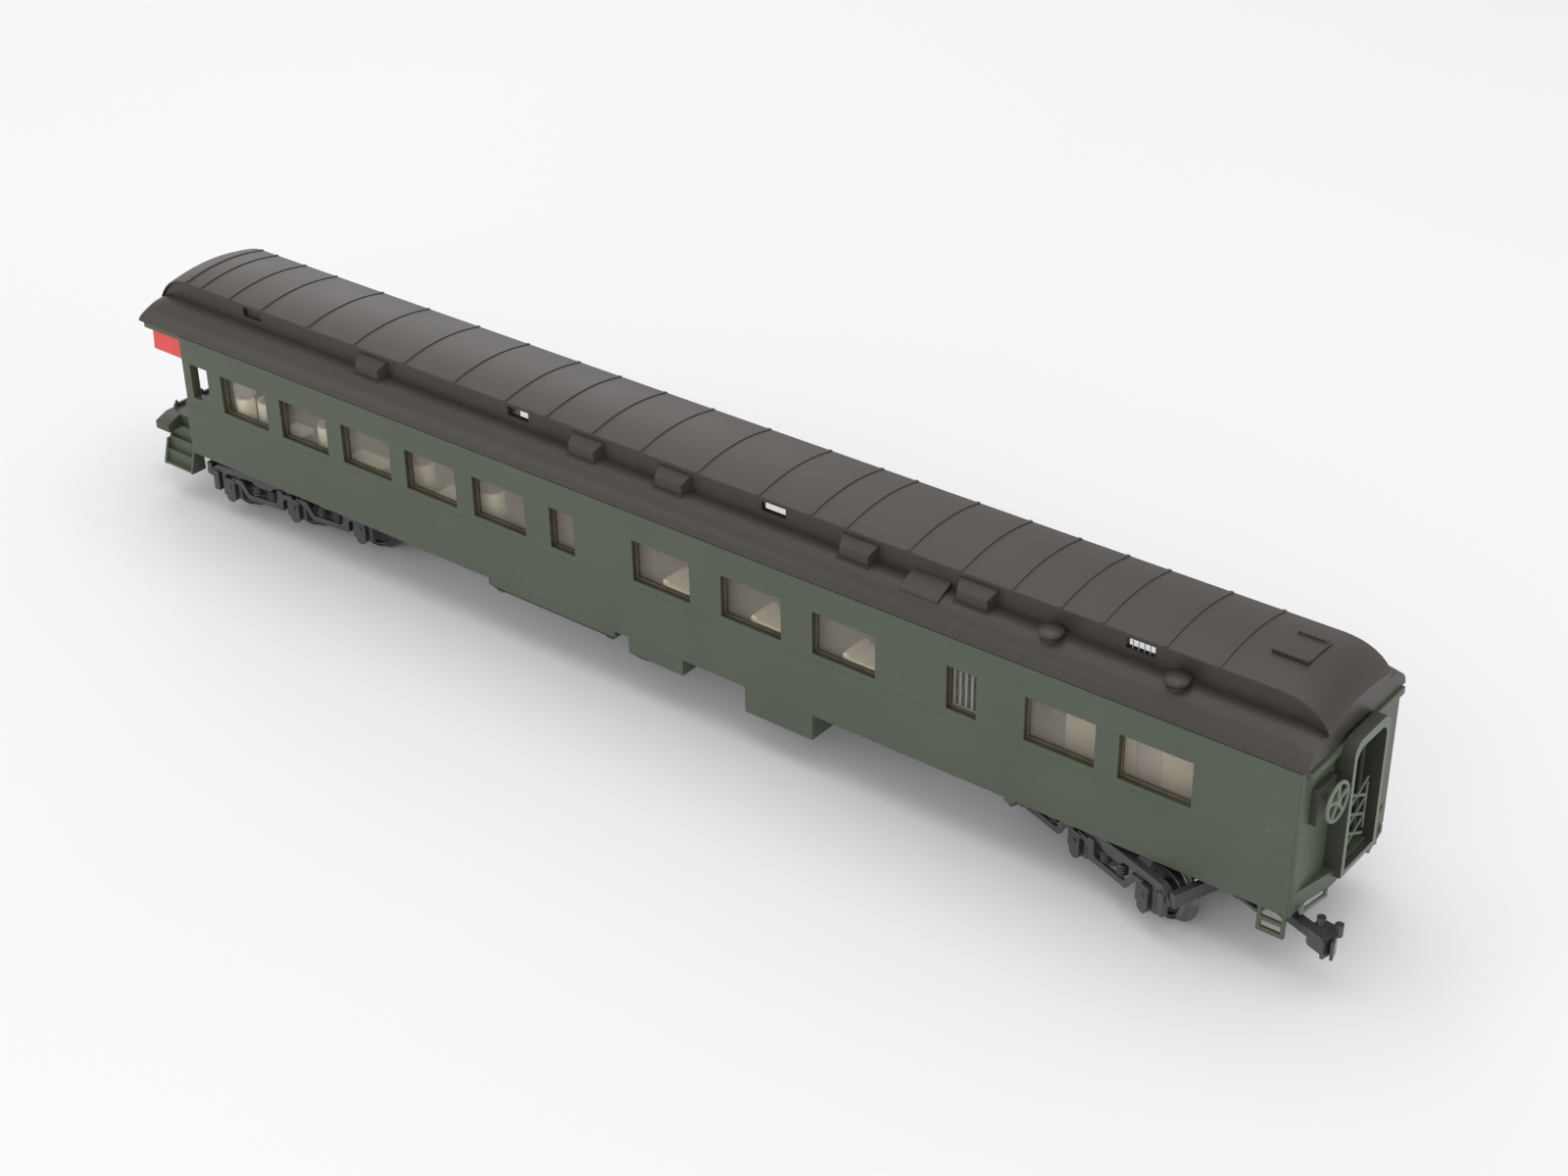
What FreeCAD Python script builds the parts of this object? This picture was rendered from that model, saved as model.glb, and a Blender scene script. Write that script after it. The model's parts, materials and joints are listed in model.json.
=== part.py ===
import FreeCAD, Part
import math
import os
from FreeCAD import Vector

# Model passenger coach with an open observation platform at one end, scale 1:87.
# Millimetres. +X points to the vestibule end, +Z is up and the wheels stand on z = 0.
# "Stations" are distances from the vestibule end of the body towards the platform.

# ---- driving dimensions -------------------------------------------------------
X_END = 148.1298                  # x of the vestibule end of the body
BODY_W = 35.0                     # over the sides, ten feet to scale
WALL = 2.2                        # side wall with its window frames
BODY_BOTTOM = 13.6
EAVE = 43.3
SILL_Z = 27.7
HEAD_Z = 36.9
SIDE_END = 282.0                  # station where the side ends, at the steps
POST_END = 281.2                  # station of the post above the sill
ROOF_END = 294.6                  # station of the roof tip over the platform
BULKHEAD = 271.0                  # station of the wall between lounge and platform

WIDE_WINDOW = 14.7
NARROW_WINDOW = 6.6
WIDE_STATIONS = (20.4, 39.9, 87.5, 109.7, 132.3, 176.0, 195.7, 215.1, 234.5, 253.8)
NARROW_STATIONS = (64.9, 162.5)
GRILLE_STATION = 64.9

BELT_Z = 26.0                     # fine raised strip under the windows
BELT_H = 0.25
BELT_PROUD = 0.08
ROOF_JOINT = 0.25                 # open joint between the side and the roof

CROWN_Z = 54.67                   # top of the raised roof
CROWN_CURVE = 0.01118             # fall of the crown per square millimetre off centre
UPPER_HALF = 11.4                 # half width of the raised roof
CLERESTORY_HALF = 10.9            # half width over the clerestory walls
DECK_TOP_Z = 48.6                 # where the side deck meets the clerestory wall
ROOF_SHELL = 1.3
DECK_SPAN = 6.7                   # side deck from the clerestory wall out to the eave
DECK_RISE = DECK_TOP_Z - EAVE
RIB_STATIONS = (283.8, 278.8, 269.3, 259.1, 244.3, 229.9, 214.8, 200.1, 185.6, 174.2, 161.9,
                149.3, 134.8, 119.6, 107.1, 98.9, 84.8, 73.1, 62.3, 52.1, 43.5, 30.9, 20.5)
RIB_W = 0.7
RIB_H = 0.2
LIGHT_STATIONS = (33.0, 113.4, 179.6, 259.8)    # open lights in the clerestory walls
LIGHT_L = 5.8
LIGHT_H = 2.1
BOX_VENT_STATIONS = (69.3, 95.6, 140.5, 163.2, 224.2)
ROUND_VENT_STATIONS = (27.0, 52.4)

FLOOR_Z = 18.1                    # underside of the light interior moulding
FLOOR_T = 1.0

WHEEL_R = 5.25
FLANGE_R = 6.35
AXLE_Z = FLANGE_R
AXLE_R = 1.0
WHEELBASE = 19.2                  # between neighbouring axles of a six-wheel truck
TRUCK_A = 40.0                    # station of the pivot at the vestibule end
TRUCK_B = 253.5                   # station of the pivot at the platform end
YAW_A = -19.2                     # the trucks stand turned by these angles, in degrees
YAW_B = 6.5
FRAME_TOP = 12.5
FRAME_BOTTOM = 9.8
PIN_R = 1.2
RUNNING = 0.06                    # radial clearance of the turning fits
COUPLER_PIVOT = 33.0              # from the truck's pivot, along the truck
COUPLER_Z = 11.0
HEAD_X = 45.6                     # back of the coupler's head, from the truck's pivot
PLATFORM_Z = 19.3
STEP_Y = 13.5                     # inner face of the step boxes
BEAM_STATION = 289.9              # inner face of the end beam
BEAM_END = 294.4
DIAPHRAGM_HALF = 6.5
DIAPHRAGM_PROUD = 3.4

HALF_W = BODY_W / 2


# ---- shape helpers ------------------------------------------------------------
def along(station):
    return X_END - station


def box(x0, x1, y0, y1, z0, z1):
    low = Vector(min(x0, x1), min(y0, y1), min(z0, z1))
    return Part.makeBox(abs(x1 - x0), abs(y1 - y0), abs(z1 - z0), low)


def rod(radius, start, end):
    return Part.makeCylinder(radius, (end - start).Length, start, end - start)


def outline(points):
    return Part.Face(Part.makePolygon(points + [points[0]]))


def plate_xz(points, y0, y1):
    face = outline([Vector(x, y0, z) for x, z in points])
    return face.extrude(Vector(0, y1 - y0, 0))


def plate_yz(points, x0, x1):
    face = outline([Vector(x0, y, z) for y, z in points])
    return face.extrude(Vector(x1 - x0, 0, 0))


def plate_xy(points, z0, z1):
    face = outline([Vector(x, y, z0) for x, y in points])
    return face.extrude(Vector(0, 0, z1 - z0))


def skin(loops):
    """Solid between matching closed loops of points, with flat faces and flat ends."""
    faces = [outline(loops[0]), outline(loops[-1])]
    for low, high in zip(loops, loops[1:]):
        for a, b, c, d in zip(low, low[1:] + low[:1], high[1:] + high[:1], high):
            if abs((b - a).cross(d - a).dot(c - a)) < 1e-7:
                faces.append(outline([a, b, c, d]))
            else:
                faces += [outline([a, b, c]), outline([a, c, d])]
    solid = Part.Solid(Part.Shell(faces))
    if solid.Volume < 0:
        solid.reverse()
    return solid


def fuse(shapes):
    whole = shapes[0].multiFuse(shapes[1:]) if len(shapes) > 1 else shapes[0]
    return whole.removeSplitter()


def cut(shape, tools):
    return shape.cut(Part.makeCompound(tools))


def other_side(shape):
    return shape.mirror(Vector(0, 0, 0), Vector(0, 1, 0))


def both_sides(shape):
    return [shape, other_side(shape)]


def solids_of(shapes):
    return [solid for shape in shapes for solid in shape.Solids]


def save(node, shapes):
    solids = solids_of(shapes)
    whole = solids[0] if len(solids) == 1 else Part.makeCompound(solids)
    whole.exportStep("parts/" + node + ".step")


# ---- body ---------------------------------------------------------------------
def window_spans():
    wide = [(station, station + WIDE_WINDOW) for station in WIDE_STATIONS]
    narrow = [(station, station + NARROW_WINDOW) for station in NARROW_STATIONS]
    return wide + narrow


CORNER_R = 0.6


def body_side():
    """Right side (-Y): wall with its windows, the belt strip and the joint under the roof."""
    outer, inner = -HALF_W, -HALF_W + WALL
    wall = box(along(CORNER_R), along(POST_END), outer, inner, BODY_BOTTOM, EAVE)
    foot = box(along(POST_END), along(SIDE_END), outer, inner, BODY_BOTTOM, SILL_Z - 1.0)
    belt = box(along(CORNER_R), along(POST_END), outer - BELT_PROUD, outer, BELT_Z, BELT_Z + BELT_H)
    openings = [box(along(a), along(b), outer - 1, inner + 1, SILL_Z, HEAD_Z) for a, b in window_spans()]
    openings.append(box(along(273.0), along(278.7), outer - 1, inner + 1, SILL_Z + 0.9, HEAD_Z))
    openings.append(box(along(-1), along(POST_END + 1), outer - 1, outer + 0.35, EAVE - ROOF_JOINT, EAVE + 1))
    return cut(fuse([wall, foot, belt]), openings)


def eave_strip():
    """Strip that carries the side on under the platform roof, on the right side."""
    return box(along(POST_END), along(ROOF_END - 1.4), -HALF_W + 0.1, -HALF_W + 1.1, EAVE - 1.3, EAVE)


def vestibule_end():
    """End wall with rounded corners, a header right under the roof and a bowed buffer beam."""
    x_in = along(CORNER_R)
    wall = box(x_in, along(0), -HALF_W + CORNER_R, HALF_W - CORNER_R, BODY_BOTTOM, EAVE)
    corners = []
    for side in (-1, 1):
        y_mid = side * (HALF_W - CORNER_R)
        post = Part.makeCylinder(CORNER_R, EAVE - BODY_BOTTOM, Vector(x_in, y_mid, BODY_BOTTOM))
        keep = box(x_in, along(0), y_mid, y_mid + side * CORNER_R, BODY_BOTTOM, EAVE)
        corners.append(post.common(keep))
    header = box(along(0), along(-0.95), -16.6, 16.6, EAVE - 1.5, EAVE)
    beam = plate_xy([(along(0.5), -16.4), (along(0.0), -16.4), (along(-2.0), -7.0), (along(-2.0), 7.0),
                     (along(0.0), 16.4), (along(0.5), 16.4)], BODY_BOTTOM + 1.3, BODY_BOTTOM + 4.6)
    doorway = box(along(3), along(-1.9), -4.6, 4.6, BODY_BOTTOM + 4.6, BODY_BOTTOM + 26.5)
    return cut(fuse([wall, header, beam] + corners), [doorway])


def diaphragm():
    """Deep gangway frame with rounded top corners, standing off the end wall."""
    x_wall, x_back, x_front = along(0), along(-0.95), along(-DIAPHRAGM_PROUD)
    low, high = BODY_BOTTOM + 3.3, BODY_BOTTOM + 31.0
    outer = round_topped(x_back, x_front, DIAPHRAGM_HALF, low, high, 2.7)
    opening = round_topped(x_back - 1, x_front + 1, DIAPHRAGM_HALF - 1.15, low + 1.1, high - 1.9, 2.2)
    # two thin legs carry the frame on the wall behind it
    legs = [box(x_wall, x_back, side * (DIAPHRAGM_HALF - 1.15), side * DIAPHRAGM_HALF, BODY_BOTTOM + 4.6, EAVE - 1.4)
            for side in (-1, 1)]
    return cut(fuse([outer] + legs), [opening, vestibule_end()])


def round_topped(x0, x1, half, low, high, radius):
    """Block with its two upper edges rounded, seen along the coach."""
    block = box(x0, x1, -half, half, low, high)
    top_edges = [edge for edge in block.Edges
                 if abs(edge.BoundBox.ZMin - high) < 1e-6 and edge.BoundBox.XLength > 1]
    return block.makeFillet(radius, top_edges)


def folding_gate():
    """Half-open lattice gate, hung on the right post of the gangway frame."""
    x0, x1 = along(-2.2), along(-2.6)
    low, high = BODY_BOTTOM + 7.6, BODY_BOTTOM + 19.6
    near, far = -DIAPHRAGM_HALF + 1.15, 2.4
    bars = [box(x0, x1, near, near + 0.45, low, high), box(x0, x1, far - 0.45, far, low + 1.2, high - 1.2)]
    pitch = 4.0
    for step in range(3):
        z = low + step * pitch
        for start, end in ((z, z + pitch), (z + pitch, z)):
            slat = [(near, start - 0.3), (near, start + 0.3), (far, end + 0.3), (far, end - 0.3)]
            bars.append(plate_yz(slat, x0, x1).common(box(x0, x1, near, far, low, high)))
    return fuse(bars)


WHEEL_Y = -11.2
WHEEL_Z = BODY_BOTTOM + 22.2


def brake_wheel():
    """Hand-brake wheel with spokes and a hub, on its short spindle."""
    x0, x1 = along(-2.95), along(-3.65)
    rim = Part.makeTorus(3.55, 0.36, Vector((x0 + x1) / 2, WHEEL_Y, WHEEL_Z), Vector(1, 0, 0))
    hub = rod(0.8, Vector(x0 - 0.2, WHEEL_Y, WHEEL_Z), Vector(x1, WHEEL_Y, WHEEL_Z))
    pieces = [rim, hub]
    for index in range(5):
        angle = math.radians(72 * index + 18)
        tip = Vector((x0 + x1) / 2, WHEEL_Y + 3.55 * math.cos(angle), WHEEL_Z + 3.55 * math.sin(angle))
        pieces.append(rod(0.36, Vector((x0 + x1) / 2, WHEEL_Y, WHEEL_Z), tip))
    return fuse(pieces)


def brake_housing():
    """Gear housing behind the brake wheel, on the end wall."""
    case = box(along(0), along(-1.3), WHEEL_Y - 3.0, WHEEL_Y + 3.2, WHEEL_Z - 4.4, WHEEL_Z + 3.0)
    spindle = rod(0.55, Vector(along(-1.3), WHEEL_Y, WHEEL_Z), Vector(along(-2.75), WHEEL_Y, WHEEL_Z))
    return fuse([case, spindle])


def end_sill_step():
    """Loop step hung from the buffer beam, on the right side."""
    z_top, z_low = BODY_BOTTOM + 1.3, BODY_BOTTOM + 0.3
    bar = plate_xy([(along(-0.3), -14.9), (along(-0.9), -14.9), (along(-2.0), -7.6), (along(-1.4), -7.6)],
                   z_low - 0.7, z_low)
    end_a = box(along(-0.3), along(-0.9), -14.9, -14.2, z_low - 0.7, z_top)
    end_b = box(along(-1.4), along(-2.0), -8.3, -7.6, z_low - 0.7, z_top)
    return fuse([bar, end_a, end_b])


def corner_stirrup():
    """Two-rung stirrup step below the body's corner, on the right side."""
    y0, y1 = -HALF_W + 0.1, -HALF_W + 0.9
    a, b = along(0.8), along(6.2)
    low = BODY_BOTTOM - 5.2
    legs = [box(a, a - 0.75, y0, y1, low, BODY_BOTTOM), box(b, b + 0.75, y0, y1, low, BODY_BOTTOM)]
    rungs = [box(a, b, y0, y1, low, low + 0.9), box(a, b, y0, y1, low + 2.4, low + 3.2)]
    return fuse(legs + rungs)


# ---- roof ---------------------------------------------------------------------
def crown(y, drop):
    return CROWN_Z - drop - CROWN_CURVE * y * y


def crown_ys(half):
    steps = 24
    return [half - 2 * half * index / steps for index in range(steps + 1)]


def upper_section(x, drop, inset):
    """Raised roof outline: crown arc, overhanging edge, clerestory walls down into the deck."""
    half, wall = UPPER_HALF - inset, CLERESTORY_HALF - inset
    points = [Vector(x, y, crown(y, drop) - inset) for y in crown_ys(half)]
    edge = max(crown(half, drop) - inset - 0.45, EAVE + 3.2)
    points += [Vector(x, -half, edge), Vector(x, -wall, edge - 0.25), Vector(x, -wall, EAVE + 2.0)]
    points += [Vector(x, wall, EAVE + 2.0), Vector(x, wall, edge - 0.25), Vector(x, half, edge)]
    return points


def deck_section(x, droop, inset):
    """Side decks: from the eave round to the clerestory wall, closed by a straight underside."""
    steps = 12
    width, height = DECK_SPAN - inset, DECK_RISE - inset
    angles = [math.pi / 2 * index / steps for index in range(steps + 1)]
    side = [(CLERESTORY_HALF + width * math.cos(a), EAVE + height * math.sin(a) * (1 - droop)) for a in angles]
    right = [Vector(x, -y, z) for y, z in side]
    left = [Vector(x, y, z) for y, z in reversed(side)]
    return right + left


# station, drop of the raised roof there
UPPER_STATIONS = ((293.2, 5.6), (292.4, 4.3), (291.4, 3.05), (290.2, 1.95), (288.9, 1.1), (287.4, 0.5),
                  (285.8, 0.13), (284.2, 0.0), (9.0, 0.0), (7.4, 0.12), (5.9, 0.36), (4.4, 0.78), (3.0, 1.4),
                  (1.8, 2.15), (0.8, 3.05), (0.1, 3.9), (-0.4, 4.6))
# station, share of the side deck's height lost there
DECK_STATIONS = ((ROOF_END, 0.55), (294.1, 0.42), (293.4, 0.28), (292.4, 0.15), (291.0, 0.05), (289.5, 0.0),
                 (3.4, 0.0), (1.4, 0.08), (-0.4, 0.2))
WEB_STATIONS = (271.0, 272.2)     # wall inside the roof, over the bulkhead


def side_decks():
    return skin([deck_section(along(s), droop, 0) for s, droop in DECK_STATIONS])


def roof():
    """One hollow moulding: side decks, raised roof with bull-nosed ends, clerestory and ribs."""
    upper = skin([upper_section(along(s), drop, 0) for s, drop in UPPER_STATIONS])
    web_in, web_out = WEB_STATIONS
    hollows = [skin([upper_section(along(s), 0.0, ROOF_SHELL) for s in ends])
               for ends in ((283.0, web_out), (web_in, 9.5))]
    hollows += [skin([deck_section(along(s), 0.0, ROOF_SHELL) for s in ends])
                for ends in ((289.0, web_out), (web_in, 1.6))]
    shell = cut(fuse([upper, side_decks()]), hollows)
    lights = []
    for station in LIGHT_STATIONS:
        z0 = DECK_TOP_Z + 1.35
        lights.append(box(along(station), along(station + LIGHT_L), -12.5, 12.5, z0, z0 + LIGHT_H))
    return cut(fuse([shell] + ribs()), lights)


def ribs():
    """Seam ribs across the raised roof."""
    made = []
    for station in RIB_STATIONS:
        ys = crown_ys(UPPER_HALF)
        top = [(y, crown(y, 0) + RIB_H) for y in ys]
        low = [(y, crown(y, 0) - 0.5) for y in reversed(ys)]
        made.append(plate_yz(top + low, along(station) - RIB_W / 2, along(station) + RIB_W / 2))
    return made


def box_vent(station):
    """Ventilator hood on the clerestory wall: wide at the wall, narrow and lower at its mouth."""
    x = along(station)
    wall_y, mouth_y = -CLERESTORY_HALF, -13.4
    at_wall = [(-4.15, 48.0), (4.15, 48.0), (4.15, 52.0), (-4.15, 52.0)]
    at_mouth = [(-3.3, 47.2), (3.3, 47.2), (3.3, 50.4), (-3.3, 50.4)]
    loops = [[Vector(x + dx, y, z) for dx, z in corners]
             for y, corners in ((wall_y, at_wall), (mouth_y, at_mouth))]
    foot = box(x - 3.7, x + 3.7, -14.0, wall_y, 46.8, 48.3)
    return fuse([skin(loops), foot]).cut(side_decks())


def round_vent(station):
    """Round ventilator on the side deck: skirt and a low, wide cap."""
    x, y = along(station), -13.35
    skirt = rod(2.0, Vector(x, y, DECK_TOP_Z - 2.2), Vector(x, y, 49.3))
    cap = rod(2.4, Vector(x, y, 49.0), Vector(x, y, 49.8))
    dome = Part.makeCone(2.4, 1.5, 0.35, Vector(x, y, 49.8))
    return fuse([skirt, cap, dome]).cut(side_decks())


def side_hatch():
    """Low sloping hatch between the clerestory wall and the side deck, with a rim."""
    a, b = along(75.3), along(84.0)
    slab = plate_yz([(-CLERESTORY_HALF, 50.0), (-15.3, 47.9), (-15.4, 46.0), (-CLERESTORY_HALF, 47.5)], a, b)
    return slab.cut(side_decks())


def end_hatch():
    """Raised plate with two battens, on the crown at the vestibule end."""
    ys = [y for y in crown_ys(UPPER_HALF) if -4.0 < y < 5.0]
    spans = ((ys, 0.3, 15.0, 8.0), (ys[:2], 0.75, 14.2, 8.6), (ys[-2:], 0.75, 15.0, 8.0))
    bars = []
    for span, height, start, end in spans:
        top = [(y, crown(y, 0) + height) for y in span]
        low = [(y, crown(y, 0)) for y in reversed(span)]
        bars.append(plate_yz(top + low, along(start), along(end)))
    return fuse(bars)


# ---- glazing and interior -----------------------------------------------------
def glazing_strip():
    y0 = -HALF_W + WALL
    return box(along(17.0), along(269.8), y0, y0 + 0.5, SILL_Z - 1.5, HEAD_Z + 1.5)


def window_grille():
    """Vertical bars behind the narrow window near the vestibule."""
    y0, y1 = -HALF_W + 1.65, -HALF_W + 2.15
    a, b = GRILLE_STATION, GRILLE_STATION + NARROW_WINDOW
    bars = [box(along(a), along(b), y0, y1, z, z + 0.5) for z in (SILL_Z, HEAD_Z - 0.5)]
    count = 5
    for index in range(count):
        station = a + (index + 0.5) * (b - a) / count
        bars.append(box(along(station - 0.26), along(station + 0.26), y0, y1, SILL_Z, HEAD_Z))
    return fuse(bars)


def interior_floor():
    half = HALF_W - WALL - 0.6
    return box(along(16.0), along(269.8), -half, half, FLOOR_Z, FLOOR_Z + FLOOR_T)


def lounge_chair(station, y, radius, height):
    """Tub chair: round seat with a curved back that opens towards the aisle."""
    top = FLOOR_Z + FLOOR_T
    x = along(station)
    outer = rod(radius, Vector(x, y, top), Vector(x, y, top + height))
    hollow = rod(radius - 0.9, Vector(x, y, top + 4.6), Vector(x, y, top + height + 1))
    front = box(x - 4, x + 4, y + 0.6, y + 4, top + 4.6, top + height + 1)
    return cut(outer, [hollow, front])


def lounge_chairs():
    chairs = [lounge_chair(station, -9.4, 3.1, 10.8) for station in (193.0, 213.8, 242.2, 261.8)]
    chairs.append(lounge_chair(267.0, -12.1, 2.4, 11.3))
    return [chair for right in chairs for chair in both_sides(right)]


def lounge_sofa():
    """Low sofa against the right wall."""
    top = FLOOR_Z + FLOOR_T
    return box(along(223.0), along(233.6), -14.4, -8.6, top, top + 7.4)


def lounge_tables():
    """Low square tables between the chairs."""
    top = FLOOR_Z + FLOOR_T
    made = []
    for station in (203.4, 252.0):
        x = along(station)
        for side in (-1, 1):
            y = side * 11.2
            leg = rod(0.8, Vector(x, y, top), Vector(x, y, top + 6.2))
            leaf = box(x - 2.9, x + 2.9, y - 2.6, y + 2.6, top + 6.2, top + 7.0)
            made.append(fuse([leg, leaf]))
    return made


def section_seat(station):
    """Deep bench seat with a low back, against the right wall."""
    top = FLOOR_Z + FLOOR_T
    x = along(station)
    back = box(x - 0.7, x + 0.7, -14.5, -7.4, top, top + 9.2)
    seat = box(x + 0.7, x + 8.6, -14.5, -7.4, top, top + 8.4)
    return fuse([back, seat])


def section_seats():
    benches = [section_seat(station) for station in (96.7, 118.9, 141.3)]
    return benches + [other_side(bench) for bench in benches]


def partitions():
    """Light inner walls: two across the car and a corridor wall with a doorway."""
    top = FLOOR_Z + FLOOR_T
    half = HALF_W - WALL - 0.7
    across = [box(along(station), along(station + 1.2), -half, half, top, EAVE - 1.2)
              for station in (60.5, 155.0)]
    doorways = [box(along(station - 1), along(station + 3), -2.8, 2.8, top, top + 20)
                for station in (60.5, 155.0)]
    across = [cut(wall, doorways) for wall in across]
    corridor = box(along(16.2), along(47.0), -6.0, -4.9, top, EAVE - 1.2)
    doorway = box(along(27.5), along(32.3), -7, -4, top, EAVE - 5)
    return across + [cut(corridor, [doorway])]


def platform_bulkhead():
    """Wall between the lounge and the platform, with a door and two windows."""
    half = HALF_W - WALL
    wall = box(along(BULKHEAD), along(BULKHEAD - 1.1), -half, half, BODY_BOTTOM + 2.9, EAVE)
    frame = box(along(BULKHEAD + 0.5), along(BULKHEAD), -4.6, 4.6, PLATFORM_Z, PLATFORM_Z + 20.5)
    panel = box(along(BULKHEAD + 0.5), along(BULKHEAD), -3.7, 3.7, PLATFORM_Z, PLATFORM_Z + 9.0)
    leaf_gap = box(along(BULKHEAD + 0.6), along(BULKHEAD), -3.7, 3.7, PLATFORM_Z - 1, PLATFORM_Z + 19.6)
    windows = [box(along(BULKHEAD + 1), along(BULKHEAD - 2), y - half_w, y + half_w, z0, z0 + high)
               for y, half_w, z0, high in ((0, 2.6, PLATFORM_Z + 9.8, 8.6), (-9.6, 3.4, SILL_Z, 9.2),
                                           (9.6, 3.4, SILL_Z, 9.2))]
    whole = fuse([wall, cut(frame, [leaf_gap])])
    return cut(fuse([whole, cut(panel, [box(along(BULKHEAD + 0.6), along(BULKHEAD + 0.25), -2.6, 2.6,
                                            PLATFORM_Z + 1.4, PLATFORM_Z + 7.8)])]), windows)


def platform_glazing():
    """Panes behind the bulkhead's door light and windows."""
    x0, x1 = along(BULKHEAD - 1.1), along(BULKHEAD - 1.5)
    spans = ((0, 3.2, PLATFORM_Z + 9.2, 9.8), (-9.6, 3.9, SILL_Z - 0.6, 10.4), (9.6, 3.9, SILL_Z - 0.6, 10.4))
    return [box(x0, x1, y - half_w, y + half_w, z0, z0 + high) for y, half_w, z0, high in spans]


# ---- underframe ---------------------------------------------------------------
def underframe():
    """Floor plate between the sides, with a centre sill and a boss over each truck."""
    half = HALF_W - WALL
    plate = box(along(CORNER_R), along(SIDE_END), -half, half, BODY_BOTTOM + 0.9, BODY_BOTTOM + 2.9)
    sill = box(along(76.0), along(218.0), -3.0, 3.0, BODY_BOTTOM - 2.6, BODY_BOTTOM + 0.9)
    bosses = [rod(4.2, Vector(along(s), 0, FRAME_TOP + 0.1), Vector(along(s), 0, BODY_BOTTOM + 0.9))
              for s in (TRUCK_A, TRUCK_B)]
    crossings = [box(along(s), along(s + 2.2), -14.0, 14.0, BODY_BOTTOM - 0.2, BODY_BOTTOM + 0.9)
                 for s in (78.0, 125.0, 168.0, 214.0)]
    pin_holes = [rod(PIN_R, Vector(along(s), 0, FRAME_TOP), Vector(along(s), 0, BODY_BOTTOM + 2.9))
                 for s in (TRUCK_A, TRUCK_B)]
    weight_holes = [rod(0.9, Vector(along(s), 7.5, BODY_BOTTOM), Vector(along(s), 7.5, BODY_BOTTOM + 3))
                    for s in WEIGHT_SCREWS]
    return cut(fuse([plate, sill] + bosses + crossings), pin_holes + weight_holes)


WEIGHT_SCREWS = (95.0, 200.0)


def ballast_weight():
    """Steel strip that gives the light plastic car its running weight."""
    z0 = BODY_BOTTOM + 2.9
    strip = box(along(72.0), along(224.0), -11.0, 11.0, z0, FLOOR_Z)
    holes = [rod(0.9, Vector(along(s), 7.5, z0 - 1), Vector(along(s), 7.5, FLOOR_Z + 1)) for s in WEIGHT_SCREWS]
    return cut(strip, holes)


def weight_screws():
    made = []
    for station in WEIGHT_SCREWS:
        x, z0 = along(station), BODY_BOTTOM + 0.9
        shank = rod(0.9, Vector(x, 7.5, z0), Vector(x, 7.5, FLOOR_Z))
        head = rod(1.8, Vector(x, 7.5, z0 - 1.0), Vector(x, 7.5, z0))
        slot = box(x - 2, x + 2, 7.3, 7.7, z0 - 1.1, z0 - 0.6)
        made.append(cut(fuse([head, shank]), [slot]))
    return made


def kingpin(station):
    """Screw that the truck turns on: head under the truck, shank up into the underframe."""
    x = along(station)
    shank = rod(PIN_R, Vector(x, 0, 9.5), Vector(x, 0, BODY_BOTTOM + 2.9))
    head = rod(2.3, Vector(x, 0, 8.3), Vector(x, 0, 9.6))
    slot = box(x - 3, x + 3, -0.25, 0.25, 8.2, 8.8)
    return cut(fuse([head, shank]), [slot])


def side_skirt():
    """Shallow panel along the sill between the trucks, with two small feet."""
    y0, y1 = -HALF_W, -HALF_W + 3.4
    panel = box(along(152.8), along(188.2), y0, y1, BODY_BOTTOM - 1.7, BODY_BOTTOM)
    feet = [box(along(s), along(s + 2.0), y0 + 0.1, y1, BODY_BOTTOM - 2.4, BODY_BOTTOM - 1.7) for s in (153.4, 184.0)]
    return fuse([panel] + feet)


def battery_box():
    """Smaller equipment box, with its lid line and a rounded lower corner."""
    y0, y1 = -HALF_W, -8.0
    body = box(along(134.8), along(149.2), y0, y1, BODY_BOTTOM - 3.7, BODY_BOTTOM)
    foot = box(along(144.0), along(146.6), y0 + 0.1, y1, BODY_BOTTOM - 4.0, BODY_BOTTOM - 3.7)
    return fuse([body, foot])


def equipment_box():
    """Larger equipment box between the battery box and the vestibule truck."""
    y0, y1 = -HALF_W, -8.0
    return box(along(102.3), along(119.0), y0, y1, BODY_BOTTOM - 5.8, BODY_BOTTOM)


def sill_bracket():
    """Small bracket under the sill beside the vestibule truck."""
    y0, y1 = -HALF_W + 0.2, -HALF_W + 1.6
    return plate_xz([(along(58.6), BODY_BOTTOM), (along(58.2), BODY_BOTTOM - 1.1), (along(56.6), BODY_BOTTOM - 1.1),
                     (along(55.4), BODY_BOTTOM)], y0, y1)


# ---- observation platform -----------------------------------------------------
def platform_deck():
    """Platform floor between the step wells, and the end beam with its thick corners."""
    low = BODY_BOTTOM + 2.9
    floor = box(along(BULKHEAD), along(SIDE_END), -HALF_W + WALL, HALF_W - WALL, low, PLATFORM_Z)
    between = box(along(SIDE_END), along(BEAM_STATION), -STEP_Y, STEP_Y, low, PLATFORM_Z)
    beam = plate_yz([(-HALF_W, low - 0.4), (HALF_W, low - 0.4), (HALF_W, low + 1.5), (14.1, PLATFORM_Z),
                     (-14.1, PLATFORM_Z), (-HALF_W, low + 1.5)], along(BEAM_STATION), along(BEAM_END))
    lip = box(along(BEAM_END - 0.9), along(BEAM_END), -11.9, 11.9, PLATFORM_Z, PLATFORM_Z + 0.7)
    bearers = [box(along(SIDE_END), along(BEAM_STATION), side * 11.6, side * STEP_Y, BODY_BOTTOM + 0.9, low)
               for side in (-1, 1)]
    return fuse([floor, between, beam, lip] + bearers)


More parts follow.
